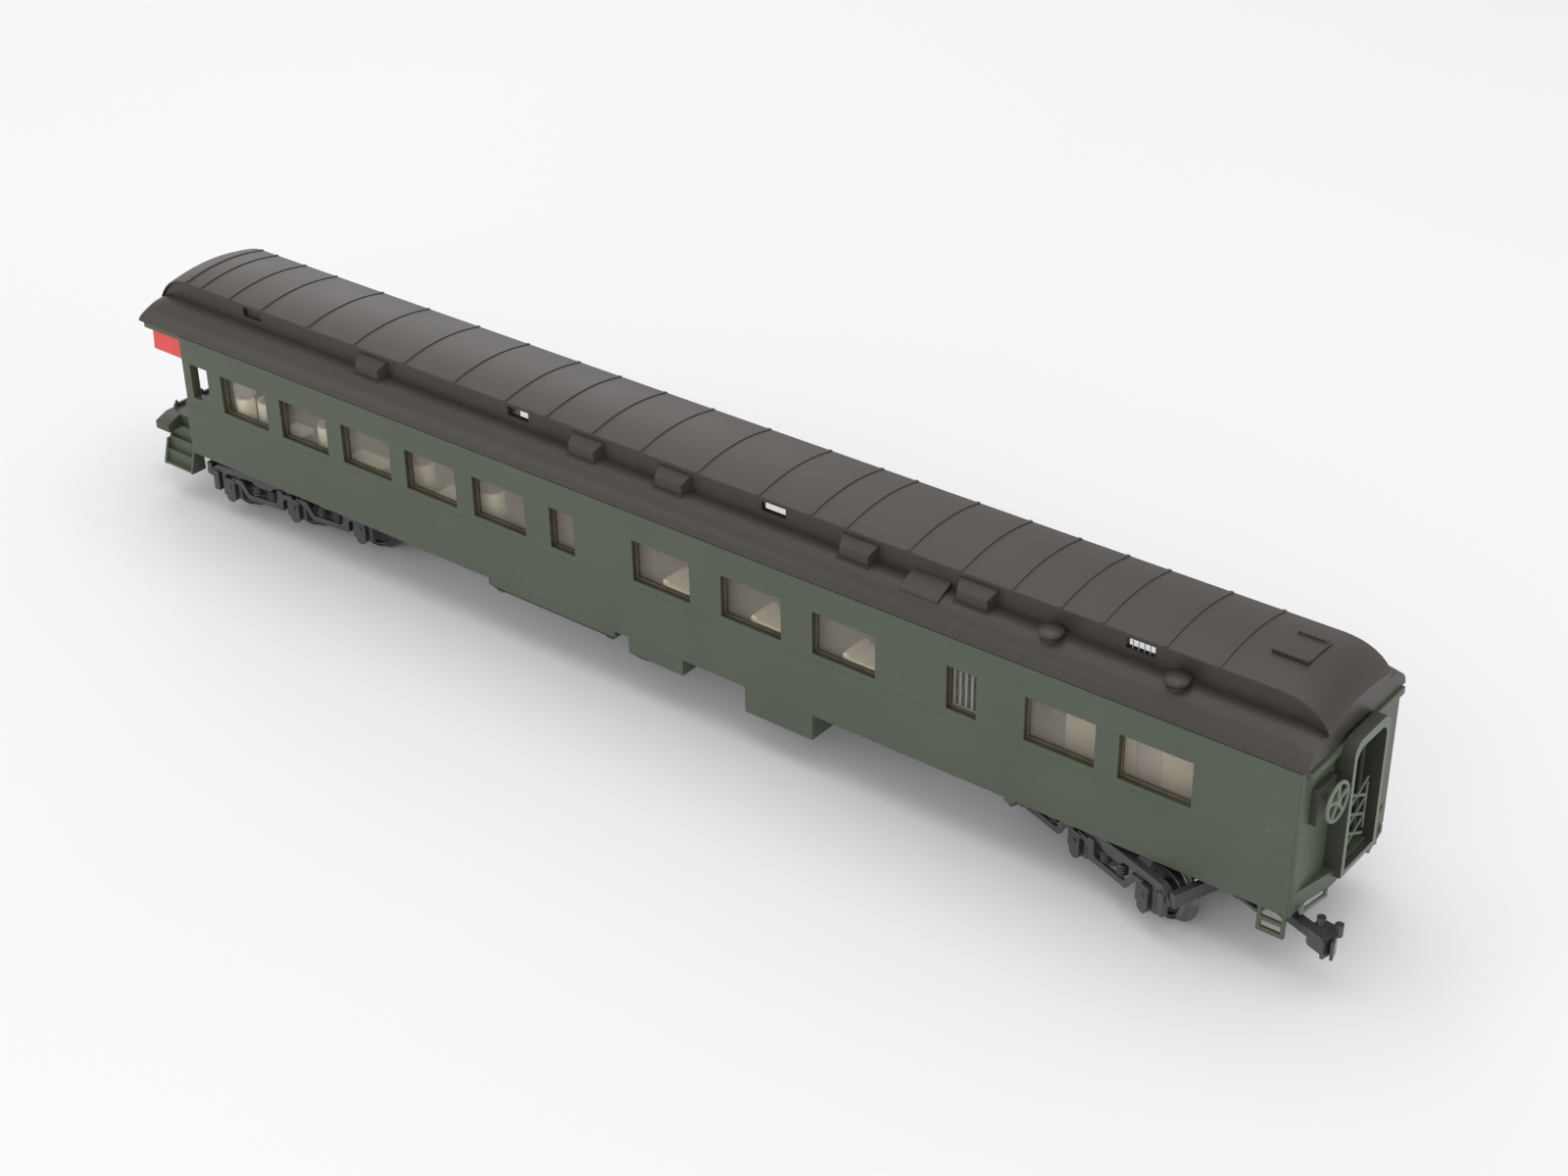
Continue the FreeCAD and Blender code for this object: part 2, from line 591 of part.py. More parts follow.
def platform_steps():
    """Step box on the right side: two stepped cheeks, treads and risers."""
    low, top = BODY_BOTTOM - 6.4, BODY_BOTTOM + 2.9
    profile = [(-HALF_W, low), (-HALF_W, low + 0.8), (-16.1, low + 5.4), (-16.1, low + 6.0), (-14.9, low + 6.1),
               (-14.6, top), (-STEP_Y, top), (-STEP_Y, low)]
    pieces = [plate_yz(profile, along(s), along(s + 0.7)) for s in (283.4, 292.6)]
    rise, tread = 2.95, 1.05
    x0, x1 = along(284.1), along(292.6)
    for index in range(4):
        z = low + 0.8 + index * rise
        y = -HALF_W + index * tread
        pieces.append(box(x0, x1, y, min(y + tread + 0.5, -STEP_Y), z - 0.6, z))
        if index < 3:
            pieces.append(box(x0, x1, y + tread, y + tread + 0.5, z, z + rise - 0.6))
    pieces.append(box(x0, x1, -STEP_Y - 0.5, -STEP_Y, low, top))
    return fuse(pieces).cut(platform_deck())


def awning():
    """Painted valance panel hung under the platform roof, on the right side."""
    return plate_xz([(along(281.4), EAVE - 6.0), (along(281.4), EAVE - 1.3), (along(290.6), EAVE - 1.3),
                     (along(291.0), EAVE - 6.0)], -HALF_W + 0.35, -HALF_W + 0.85)


def railing_stubs():
    """Sockets left on the end beam where the railing plugs in."""
    made = []
    for y in (-11.2, -3.6, 3.6, 11.2):
        x = along(BEAM_END - 0.45)
        made.append(Part.makeCone(0.45, 0.25, 0.8, Vector(x, y, PLATFORM_Z + 0.7)))
    return made


# ---- trucks (built about their own pivot, +X along the truck) -----------------
def placed(shape, station, yaw):
    moved = shape.copy()
    moved.rotate(Vector(0, 0, 0), Vector(0, 0, 1), yaw)
    moved.translate(Vector(along(station), 0, 0))
    return moved


AXLE_XS = (-WHEELBASE, 0.0, WHEELBASE)


def side_frame():
    """Right side frame: top rail, pedestals, journal boxes and the two hung equalisers."""
    y0, y1 = -14.2, -12.7
    pieces = [plate_xz([(-24.6, 11.3), (-25.6, 9.6), (-25.6, 9.0), (-24.2, 9.0), (-23.2, 10.6), (-13.0, 10.6),
                        (-11.8, 9.6), (-7.4, 9.6), (-6.2, 10.6), (6.2, 10.6), (7.4, 9.6), (11.8, 9.6),
                        (13.0, 10.6), (23.2, 10.6), (24.2, 9.0), (25.6, 9.0), (25.6, 9.6), (24.6, 11.3),
                        (23.0, 12.3), (-23.0, 12.3)], y0, y1)]
    for x in AXLE_XS:
        for side in (-1, 1):
            pieces.append(box(x + side * 1.6, x + side * 2.8, y0, y1, 5.0, 10.8))
        pieces.append(box(x - 1.35, x + 1.35, -15.0, -13.0, 5.4, 9.0))
        pieces.append(rod(1.35, Vector(x, -15.0, 5.4), Vector(x, -13.0, 5.4)))
        pieces.append(plate_xz([(x - 1.6, 9.0), (x + 1.6, 9.0), (x + 1.2, 9.9), (x - 1.2, 9.9)], -14.9, -13.2))
        pieces.append(rod(0.5, Vector(x, -15.25, 7.9), Vector(x, -14.9, 7.9)))
        pieces.append(box(x + 3.5, x + 5.1, -14.7, -13.4, 6.0, 10.8))
    for mid in (-WHEELBASE / 2, WHEELBASE / 2):
        pieces.append(plate_xz([(mid - 9.0, 10.4), (mid - 9.0, 9.3), (mid - 6.6, 9.0), (mid - 4.6, 6.0),
                                (mid + 4.6, 6.0), (mid + 6.6, 9.0), (mid + 9.0, 9.3), (mid + 9.0, 10.4),
                                (mid + 6.0, 10.2), (mid + 4.0, 7.3), (mid - 4.0, 7.3), (mid - 6.0, 10.2)],
                               -14.7, -13.9))
    bearings = [rod(0.75, Vector(x, -14.0, AXLE_Z), Vector(x, -12.0, AXLE_Z)) for x in AXLE_XS]
    return cut(fuse(pieces), bearings)


def truck_frame():
    """One moulding: both side frames, transoms, bolster with the pivot bore, and the coupler tongue."""
    spine = box(-12.2, 12.2, -6.3, 6.3, FRAME_BOTTOM, FRAME_TOP)
    transoms = [box(side * 7.0, side * 12.2, -13.0, 13.0, FRAME_BOTTOM, FRAME_TOP - 0.2) for side in (-1, 1)]
    ends = [box(side * 25.2, side * 26.6, -14.0, 14.0, 9.1, 12.0) for side in (-1, 1)]
    tongue = box(12.2, 30.2, -2.4, 2.4, 11.6, FRAME_TOP)
    pocket = box(29.0, 35.4, -2.9, 2.9, 12.3, FRAME_TOP + 0.4)
    post = rod(0.8, Vector(COUPLER_PIVOT, 0, 9.3), Vector(COUPLER_PIVOT, 0, 12.4))
    bore = rod(PIN_R + RUNNING, Vector(0, 0, 8), Vector(0, 0, 14))
    sides = both_sides(side_frame())
    return cut(fuse([spine, tongue, pocket, post] + transoms + ends + sides), [bore])


def truck_springs():
    """Coil springs standing in pairs on the equalisers, as turned stacks of rings."""
    made = []
    turns = 4
    for mid in (-WHEELBASE / 2, WHEELBASE / 2):
        for dx in (-2.3, 2.3):
            profile = []
            z0, z1 = 7.3, 9.6
            pitch = (z1 - z0) / turns
            profile.append(Vector(0, 0, z0))
            for index in range(turns):
                z = z0 + index * pitch
                profile += [Vector(0.75, 0, z), Vector(1.15, 0, z + pitch * 0.3), Vector(1.15, 0, z + pitch * 0.7)]
            profile += [Vector(0.75, 0, z1), Vector(0, 0, z1)]
            spring = outline(profile).revolve(Vector(0, 0, 0), Vector(0, 0, 1), 360)
            spring.translate(Vector(mid + dx, -13.45, 0))
            made += both_sides(spring)
    return made


def axle(x):
    """Steel axle with cone points that run in the side frames' bearings."""
    barrel = rod(AXLE_R, Vector(x, -11.2, AXLE_Z), Vector(x, 11.2, AXLE_Z))
    stubs = [rod(0.68, Vector(x, side * 11.2, AXLE_Z), Vector(x, side * 13.6, AXLE_Z)) for side in (-1, 1)]
    return fuse([barrel] + stubs)


def wheel_pair(x):
    """Two flanged wheels with a dished web, pressed on the axle."""
    profile = [(AXLE_R, 6.9), (2.1, 6.9), (2.3, 7.5), (4.2, 7.6), (4.3, 7.15), (FLANGE_R, 7.15), (FLANGE_R, 7.7),
               (WHEEL_R + 0.15, 8.15), (WHEEL_R, 8.35), (WHEEL_R - 0.12, 9.9), (4.3, 9.9), (4.1, 9.0),
               (2.3, 8.8), (2.1, 9.9), (AXLE_R, 9.9)]
    face = outline([Vector(x + r, -y, AXLE_Z) for r, y in profile])
    wheel = face.revolve(Vector(x, 0, AXLE_Z), Vector(0, 1, 0), 360)
    return both_sides(wheel)


def coupler():
    """Horn-hook coupler: pierced shank, block head, side arm with a knob, and two guide blades."""
    x0, z0, z1 = HEAD_X, COUPLER_Z - 0.9, COUPLER_Z + 0.9
    eye = rod(2.1, Vector(COUPLER_PIVOT, 0, z0), Vector(COUPLER_PIVOT, 0, z1))
    shank = box(COUPLER_PIVOT, x0 + 0.5, -1.0, 1.0, z0, z1)
    low, high = COUPLER_Z - 1.9, COUPLER_Z + 1.5
    head = plate_xy([(x0, -1.0), (x0 + 0.9, -1.5), (x0 + 4.2, -1.5), (x0 + 4.2, 1.0), (x0 + 3.4, 2.6), (x0, 2.2)],
                    low, high)
    peg = rod(0.8, Vector(x0 + 0.9, 1.2, high), Vector(x0 + 0.9, 1.2, high + 1.5))
    arm = plate_xy([(x0 + 0.4, 1.0), (x0 + 4.0, 1.6), (x0 + 4.2, 3.1), (x0 + 0.4, 2.2)], high - 1.2, high + 0.3)
    knob = rod(0.8, Vector(x0 + 3.8, 2.6, high - 1.2), Vector(x0 + 3.8, 2.6, high + 1.2))
    blades = [plate_xy(points, COUPLER_Z - 2.4, high - 0.2)
              for points in ([(x0 + 4.0, 1.0), (x0 + 4.5, 1.2), (x0 + 4.8, -1.7), (x0 + 4.2, -1.8)],
                             [(x0 + 4.1, 1.4), (x0 + 4.6, 1.6), (x0 + 6.0, -0.5), (x0 + 5.5, -0.8)])]
    bore = rod(0.8 + RUNNING, Vector(COUPLER_PIVOT, 0, 5), Vector(COUPLER_PIVOT, 0, 15))
    return cut(fuse([eye, shank, head, peg, arm, knob] + blades), [bore])


def coupler_cover():
    """Plate snapped over the coupler's post, which keeps the coupler in its pocket."""
    plate = box(29.6, 35.2, -2.6, 2.6, 8.9, 9.6)
    hole = rod(0.8, Vector(COUPLER_PIVOT, 0, 9.3), Vector(COUPLER_PIVOT, 0, 9.7))
    walls = [box(29.0, 30.2, -2.9, 2.9, 8.9, 11.6)]
    return cut(fuse([plate] + walls), [hole])


def save_truck(letter, station, yaw, outward):
    """outward is +1 where the coupler tongue points to +X, and -1 where it points to -X."""
    turn = yaw if outward > 0 else yaw + 180

    def put(node, shapes):
        save("truck_" + letter + "_" + node, [placed(shape, station, turn) for shape in shapes])

    put("frame", [truck_frame()])
    put("springs", truck_springs())
    for index, x in enumerate(AXLE_XS):
        put("axle_" + str(index + 1), [axle(x)])
        put("wheels_" + str(index + 1), wheel_pair(x))
    put("coupler", [coupler()])
    put("coupler_cover", [coupler_cover()])


# ---- write every sub-part -----------------------------------------------------
def save_all():
    os.makedirs("parts", exist_ok=True)
    save("platform_eave_strips", both_sides(eave_strip()))
    save("body_side_right", [body_side()])
    save("body_side_left", [other_side(body_side())])
    save("vestibule_end", [vestibule_end()])
    save("platform_bulkhead", [platform_bulkhead()])
    save("platform_glazing", platform_glazing())
    save("diaphragm", [diaphragm()])
    save("folding_gate", [folding_gate()])
    save("brake_wheel", [brake_wheel()])
    save("brake_housing", [brake_housing()])
    save("end_sill_steps", both_sides(end_sill_step()))
    save("corner_stirrups", both_sides(corner_stirrup()))
    save("roof", [roof()])
    save("roof_box_vents", [v for s in BOX_VENT_STATIONS for v in both_sides(box_vent(s))])
    save("roof_round_vents", [v for s in ROUND_VENT_STATIONS for v in both_sides(round_vent(s))])
    save("roof_side_hatch", [side_hatch()])
    save("roof_end_hatch", [end_hatch()])
    save("glazing_right", [glazing_strip()])
    save("glazing_left", [other_side(glazing_strip())])
    save("window_grilles", both_sides(window_grille()))
    save("interior_floor", [interior_floor()])
    save("lounge_chairs", lounge_chairs())
    save("lounge_sofas", both_sides(lounge_sofa()))
    save("lounge_tables", lounge_tables())
    save("section_seats", section_seats())
    save("partitions", partitions())
    save("underframe", [underframe()])
    save("ballast_weight", [ballast_weight()])
    save("weight_screws", weight_screws())
    save("kingpin_screws", [kingpin(TRUCK_A), kingpin(TRUCK_B)])
    save("side_skirts", both_sides(side_skirt()))
    save("battery_boxes", both_sides(battery_box()))
    save("equipment_boxes", both_sides(equipment_box()))
    save("sill_brackets", both_sides(sill_bracket()))
    save("platform_deck", [platform_deck()])
    save("platform_steps_right", [platform_steps()])
    save("platform_steps_left", [other_side(platform_steps())])
    save("platform_awnings", both_sides(awning()))
    save("railing_stubs", railing_stubs())
    save_truck("a", TRUCK_A, YAW_A, 1)
    save_truck("b", TRUCK_B, YAW_B, -1)


save_all()
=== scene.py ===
import json
import math

import bmesh
import bpy
from mathutils import Matrix, Vector


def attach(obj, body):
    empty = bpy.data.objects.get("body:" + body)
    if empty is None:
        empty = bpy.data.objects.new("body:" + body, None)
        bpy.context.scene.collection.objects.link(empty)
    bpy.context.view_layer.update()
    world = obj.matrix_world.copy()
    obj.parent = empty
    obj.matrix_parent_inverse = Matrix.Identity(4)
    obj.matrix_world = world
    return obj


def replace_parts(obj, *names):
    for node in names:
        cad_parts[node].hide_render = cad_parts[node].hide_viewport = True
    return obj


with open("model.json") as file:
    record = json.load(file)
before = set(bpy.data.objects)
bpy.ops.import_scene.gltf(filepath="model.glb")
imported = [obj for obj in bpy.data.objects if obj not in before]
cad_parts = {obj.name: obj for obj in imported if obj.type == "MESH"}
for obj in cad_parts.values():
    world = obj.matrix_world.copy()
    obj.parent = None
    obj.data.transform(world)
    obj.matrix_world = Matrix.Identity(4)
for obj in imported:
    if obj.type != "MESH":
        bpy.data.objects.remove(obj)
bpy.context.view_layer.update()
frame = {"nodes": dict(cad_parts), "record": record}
MM = 0.001

# ---- table, light and camera ---------------------------------------------------
# The coach stands on a white sheet in a light tent: a broad soft light above, weaker ones in
# front, at both ends and low behind the far end, and pale surroundings on every side.
floor_mesh = bmesh.new()
bmesh.ops.create_grid(floor_mesh, x_segments=1, y_segments=1, size=3.0)
floor_data = bpy.data.meshes.new("white_sheet")
floor_mesh.to_mesh(floor_data)
floor_mesh.free()
floor = bpy.data.objects.new("white_sheet", floor_data)
bpy.context.scene.collection.objects.link(floor)

sheet_paper = bpy.data.materials.new("white_sheet")
sheet_paper.use_nodes = True
sheet_nodes = sheet_paper.node_tree
sheet_shader = sheet_nodes.nodes["Principled BSDF"]
sheet_shader.inputs["Roughness"].default_value = 0.75
sheet_shader.inputs["Specular IOR Level"].default_value = 0.2
sheet_place = sheet_nodes.nodes.new("ShaderNodeTexCoord")
sheet_cloud = sheet_nodes.nodes.new("ShaderNodeTexNoise")
sheet_cloud.inputs["Scale"].default_value = 3.0
sheet_tone = sheet_nodes.nodes.new("ShaderNodeValToRGB")
sheet_tone.color_ramp.elements[0].color = (0.81, 0.81, 0.82, 1)
sheet_tone.color_ramp.elements[1].color = (0.85, 0.85, 0.86, 1)
sheet_nodes.links.new(sheet_place.outputs["Object"], sheet_cloud.inputs["Vector"])
sheet_nodes.links.new(sheet_cloud.outputs["Fac"], sheet_tone.inputs["Fac"])
sheet_nodes.links.new(sheet_tone.outputs["Color"], sheet_shader.inputs["Base Color"])
floor.data.materials.append(sheet_paper)


def soft_light(name, place, aim, size, power):
    lamp = bpy.data.lights.new(name, "AREA")
    lamp.shape = "RECTANGLE"
    lamp.size, lamp.size_y = size
    lamp.energy = power
    holder = bpy.data.objects.new(name, lamp)
    bpy.context.scene.collection.objects.link(holder)
    holder.location = place
    holder.rotation_euler = (Vector(aim) - Vector(place)).to_track_quat("-Z", "Y").to_euler()


soft_light("tent_top", (0.02, 0.1, 1.1), (0.0, 0, 0), (1.6, 1.2), 6.2)
soft_light("tent_front", (0.45, -1.15, 0.7), (0, 0, 0.02), (1.0, 0.8), 3.4)
soft_light("tent_left", (-0.9, -0.95, 0.5), (-0.1, 0, 0.03), (0.7, 0.7), 2.1)
soft_light("tent_right", (1.2, 0.05, 0.25), (0.12, 0, 0.03), (0.7, 0.5), 2.2)
soft_light("tent_far", (-1.25, 0.95, 0.62), (-0.1, 0, 0.04), (0.9, 0.5), 3.0)

tent = bpy.data.worlds.new("tent")
bpy.context.scene.world = tent
tent.use_nodes = True
tent.node_tree.nodes["Background"].inputs["Color"].default_value = (0.99, 0.985, 0.99, 1)
tent.node_tree.nodes["Background"].inputs["Strength"].default_value = 0.65

camera_data = bpy.data.cameras.new("camera")
camera_data.lens = 57.774
camera_data.clip_start, camera_data.clip_end = 0.02, 20
camera = bpy.data.objects.new("camera", camera_data)
bpy.context.scene.collection.objects.link(camera)
camera.location = (0.29241, -0.3334586, 0.2819688)
camera.rotation_euler = [math.radians(a) for a in (59.10098, 0.71536, 38.26095)]
bpy.context.scene.camera = camera
bpy.context.scene.view_settings.view_transform = "Standard"


# ---- body shell ----------------------------------------------------------------
# Sides and vestibule end: satin green polystyrene, moulded in one piece on the real coach.
# The mould leaves soft arrises, a fine grain and slightly uneven gloss.
def moulded_plastic(name, colour, shade, rough=0.5, grain=0.25, cloud=70.0, dust=0.0, gloss=0.5):
    """Plastic with slow tone changes, a fine mould grain and, where wanted, a little dust."""
    finish = bpy.data.materials.new(name)
    finish.use_nodes = True
    tree = finish.node_tree
    shader = tree.nodes["Principled BSDF"]
    shader.inputs["Specular IOR Level"].default_value = gloss
    place = tree.nodes.new("ShaderNodeTexCoord")
    slow = tree.nodes.new("ShaderNodeTexNoise")
    slow.inputs["Scale"].default_value = cloud
    slow.inputs["Detail"].default_value = 5.0
    tone = tree.nodes.new("ShaderNodeValToRGB")
    tone.color_ramp.elements[0].position, tone.color_ramp.elements[1].position = 0.3, 0.7
    tone.color_ramp.elements[0].color = (*shade, 1)
    tone.color_ramp.elements[1].color = (*colour, 1)
    fine = tree.nodes.new("ShaderNodeTexNoise")
    fine.inputs["Scale"].default_value = 5200.0
    fine.inputs["Detail"].default_value = 2.0
    relief = tree.nodes.new("ShaderNodeBump")
    relief.inputs["Strength"].default_value = grain
    relief.inputs["Distance"].default_value = 0.02 * MM
    sheen = tree.nodes.new("ShaderNodeMapRange")
    sheen.inputs["To Min"].default_value = rough - 0.07
    sheen.inputs["To Max"].default_value = rough + 0.07
    link = tree.links.new
    for texture in (slow, fine):
        link(place.outputs["Object"], texture.inputs["Vector"])
    link(slow.outputs["Fac"], tone.inputs["Fac"])
    link(slow.outputs["Fac"], sheen.inputs["Value"])
    link(sheen.outputs["Result"], shader.inputs["Roughness"])
    link(fine.outputs["Fac"], relief.inputs["Height"])
    link(relief.outputs["Normal"], shader.inputs["Normal"])
    specks = tree.nodes.new("ShaderNodeTexNoise")
    specks.inputs["Scale"].default_value = 1300.0
    cut = tree.nodes.new("ShaderNodeMapRange")
    cut.inputs["From Min"].default_value = 0.76
    cut.inputs["From Max"].default_value = 0.82
    cut.inputs["To Max"].default_value = dust
    mix = tree.nodes.new("ShaderNodeMix")
    mix.data_type = "RGBA"
    mix.inputs["B"].default_value = (0.5, 0.5, 0.47, 1)
    link(place.outputs["Object"], specks.inputs["Vector"])
    link(specks.outputs["Fac"], cut.inputs["Value"])
    link(cut.outputs["Result"], mix.inputs["Factor"])
    link(tone.outputs["Color"], mix.inputs["A"])
    link(mix.outputs["Result"], shader.inputs["Base Color"])
    return finish


def body_of_node(node):
    """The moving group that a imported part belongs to."""
    return next(body for body, nodes in frame["record"]["behaviour"]["bodies"].items() if node in nodes)


def finished(name, shape, finish, body, smooth=35.0):
    """Turns a bmesh into a piece with one finish, riding on its group."""
    data = bpy.data.meshes.new(name)
    shape.to_mesh(data)
    shape.free()
    for face in data.polygons:
        face.use_smooth = True
    data.set_sharp_from_angle(angle=math.radians(smooth))
    data.materials.append(finish)
    piece = bpy.data.objects.new(name, data)
    bpy.context.scene.collection.objects.link(piece)
    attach(piece, body)
    return piece


def softened(node, finish, width=0.12, corner=25.0, segments=2):
    """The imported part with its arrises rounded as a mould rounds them; width in millimetres."""
    shape = bmesh.new()
    shape.from_mesh(frame["nodes"][node].data)
    bmesh.ops.remove_doubles(shape, verts=shape.verts, dist=0.002 * MM)
    bmesh.ops.dissolve_limit(shape, angle_limit=math.radians(0.4), verts=shape.verts, edges=shape.edges)
    arrises = [e for e in shape.edges if e.is_manifold and e.calc_face_angle(0) > math.radians(corner)]
    bmesh.ops.bevel(shape, geom=arrises, offset=width * MM, offset_type="OFFSET", segments=segments,
                    profile=0.5, affect="EDGES", clamp_overlap=True, material=-1)
    piece = finished(node + "_soft", shape, finish, body_of_node(node))
    even = piece.modifiers.new("even_shading", "WEIGHTED_NORMAL")
    even.keep_sharp = True
    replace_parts(piece, node)
    return piece


coach_green = moulded_plastic("coach_green", (0.072, 0.090, 0.060), (0.060, 0.077, 0.050),
                              rough=0.48, grain=0.25, cloud=60, dust=0.25)
for node in ("body_side_left", "body_side_right", "vestibule_end", "platform_eave_strips"):
    softened(node, coach_green)


# ---- window sashes and panes ---------------------------------------------------
# Every opening is lined in dark olive, the raised edge of the glazing shows as a paler ring
# inside it, and one clear strip of glazing runs behind all of them on each side.
def add_box(shape, low, high):
    """Adds a cuboid between two corners given in millimetres."""
    size = Vector(high) - Vector(low)
    middle = (Vector(high) + Vector(low)) / 2
    place = Matrix.Translation(middle * MM) @ Matrix.Diagonal((*(size * MM), 1))
    bmesh.ops.create_cube(shape, size=1.0, matrix=place)


def frame_ring(shape, low, high, bar):
    """Four bars round an upright opening that faces along Y, outer corners low and high."""
    (x0, y0, z0), (x1, y1, z1) = low, high
    add_box(shape, (x0, y0, z0), (x1, y1, z0 + bar))
    add_box(shape, (x0, y0, z1 - bar), (x1, y1, z1))
    add_box(shape, (x0, y0, z0 + bar), (x0 + bar, y1, z1 - bar))
    add_box(shape, (x1 - bar, y0, z0 + bar), (x1, y1, z1 - bar))


X_END = 148.1298                  # outer face of the vestibule end; stations count back from it
WIDE_WINDOWS = (20.4, 39.9, 87.5, 109.7, 132.3, 176.0, 195.7, 215.1, 234.5, 253.8)
NARROW_WINDOWS = (64.9, 162.5)
WIDE_SPAN, NARROW_SPAN = 14.7, 6.6
SILL_HEIGHT, HEAD_HEIGHT = 27.7, 36.9
windows = [(station, WIDE_SPAN) for station in WIDE_WINDOWS]
windows += [(station, NARROW_SPAN) for station in NARROW_WINDOWS]
sash_olive = moulded_plastic("sash_olive", (0.062, 0.054, 0.030), (0.040, 0.036, 0.020), 0.5, 0.2, 200)
pane_edge = moulded_plastic("pane_edge", (0.150, 0.130, 0.082), (0.105, 0.092, 0.058), 0.4, 0.2, 200)
for side, label in ((-1, "right"), (1, "left")):
    for piece, finish, outer, inner, bar in (("sashes_", sash_olive, 17.3, 16.5, 0.1),
                                             ("pane_edges_", pane_edge, 16.5, 15.9, 0.22)):
        rings = bmesh.new()
        near, far = sorted((side * outer, side * inner))
        for station, span in windows:
            right = X_END - station
            frame_ring(rings, (right - span, near, SILL_HEIGHT), (right, far, HEAD_HEIGHT), bar)
        finished(piece + label, rings, finish, "car_body")

clear = bpy.data.materials.new("clear_pane")
clear.use_nodes = True
clear_nodes = clear.node_tree
clear_shader = clear_nodes.nodes["Principled BSDF"]
clear_shader.inputs["Alpha"].default_value = 0.10
clear_shader.inputs["Base Color"].default_value = (0.84, 0.78, 0.70, 1)
clear_place = clear_nodes.nodes.new("ShaderNodeTexCoord")
clear_haze = clear_nodes.nodes.new("ShaderNodeTexNoise")
clear_haze.inputs["Scale"].default_value = 90.0
clear_rough = clear_nodes.nodes.new("ShaderNodeMapRange")
clear_rough.inputs["To Min"].default_value = 0.03
clear_rough.inputs["To Max"].default_value = 0.12
clear_nodes.links.new(clear_place.outputs["Object"], clear_haze.inputs["Vector"])
clear_nodes.links.new(clear_haze.outputs["Fac"], clear_rough.inputs["Value"])
clear_nodes.links.new(clear_rough.outputs["Result"], clear_shader.inputs["Roughness"])
for node in ("glazing_left", "glazing_right", "platform_glazing"):
    softened(node, clear, 0.05)
grille_grey = moulded_plastic("grille_grey", (0.30, 0.30, 0.27), (0.22, 0.22, 0.20), 0.45)
softened("window_grilles", grille_grey, 0.06)

# ---- vestibule end -------------------------------------------------------------
# Gangway frame, lattice gate, brake wheel with its gear case, and the steps at the corners.
# Frame, gate and wheel are moulded in a paler, chalky green. The gangway's faces that do not face
# the end are a deep green that is painted shade: it stands for the deep shadow inside the gangway.
# The gear case is a real part, and its deep green is painted shadow of the brake wheel on the end.
chalk_green = moulded_plastic("chalk_green", (0.150, 0.175, 0.135), (0.120, 0.142, 0.108), 0.55, 0.3, 150)
# deep green: painted shade for the gangway's hidden faces and the brake wheel's shadow
painted_shade_green = moulded_plastic("painted_shade_green", (0.040, 0.047, 0.030), (0.028, 0.034, 0.021), 0.55, 0.3, 120)
gangway = softened("diaphragm", painted_shade_green, 0.14)
gangway.data.materials.append(chalk_green)
# faces towards the end keep the chalky green; every other face keeps the painted shade
for face in gangway.data.polygons:
    if face.normal.x > 0.5:
        face.material_index = 1
gate_green = moulded_plastic("gate_green", (0.092, 0.110, 0.082), (0.070, 0.085, 0.062), 0.55, 0.3, 150)
softened("folding_gate", gate_green, 0.1)
softened("brake_wheel", chalk_green, 0.1)
# the gear case's deep green is painted shadow of the brake wheel
softened("brake_housing", painted_shade_green, 0.6, segments=3)
softened("end_sill_steps", chalk_green, 0.16)
softened("corner_stirrups", coach_green, 0.16)

# ---- roof ----------------------------------------------------------------------
# Warm grey-brown moulding with a little gloss; hatches and ventilators are separate pieces.
roof_grey = moulded_plastic("roof_grey", (0.044, 0.036, 0.030), (0.036, 0.029, 0.024),
                            rough=0.46, grain=0.3, cloud=45, dust=0.3)
softened("roof", roof_grey, 0.15)
for node, width in (("roof_box_vents", 0.16), ("roof_side_hatch", 0.2), ("roof_end_hatch", 0.1)):
    softened(node, roof_grey, width)


def turned(shape, profile, place, steps=40):
    """Spins an outline of (radius, height) pairs in millimetres about an upright axis."""
    points = [shape.verts.new(place @ Vector((radius * MM, 0, height * MM))) for radius, height in profile]
    line = [shape.edges.new(pair) for pair in zip(points, points[1:])]
    bmesh.ops.spin(shape, geom=points + line, cent=place.translation, axis=(0, 0, 1),
                   angle=math.radians(360), steps=steps, use_merge=True, use_duplicate=False)
    bmesh.ops.remove_doubles(shape, verts=shape.verts, dist=0.002 * MM)
    bmesh.ops.recalc_face_normals(shape, faces=shape.faces)


VENT_STATIONS = (27.0, 52.4)
VENT_FROM_MIDDLE = 13.35
VENT_PROFILE = ((0.0, 46.9), (1.75, 46.9), (1.8, 48.1), (2.05, 48.7), (2.38, 49.1), (2.4, 49.5),
                (2.2, 49.8), (1.9, 49.86), (1.6, 50.02), (0.9, 50.13), (0.0, 50.15))
vents = bmesh.new()
for station in VENT_STATIONS:
    for side in (-1, 1):
        stand = Matrix.Translation(((X_END - station) * MM, side * VENT_FROM_MIDDLE * MM, 0))
        turned(vents, VENT_PROFILE, stand)
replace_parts(finished("round_vents", vents, roof_grey, "car_body"), "roof_round_vents")

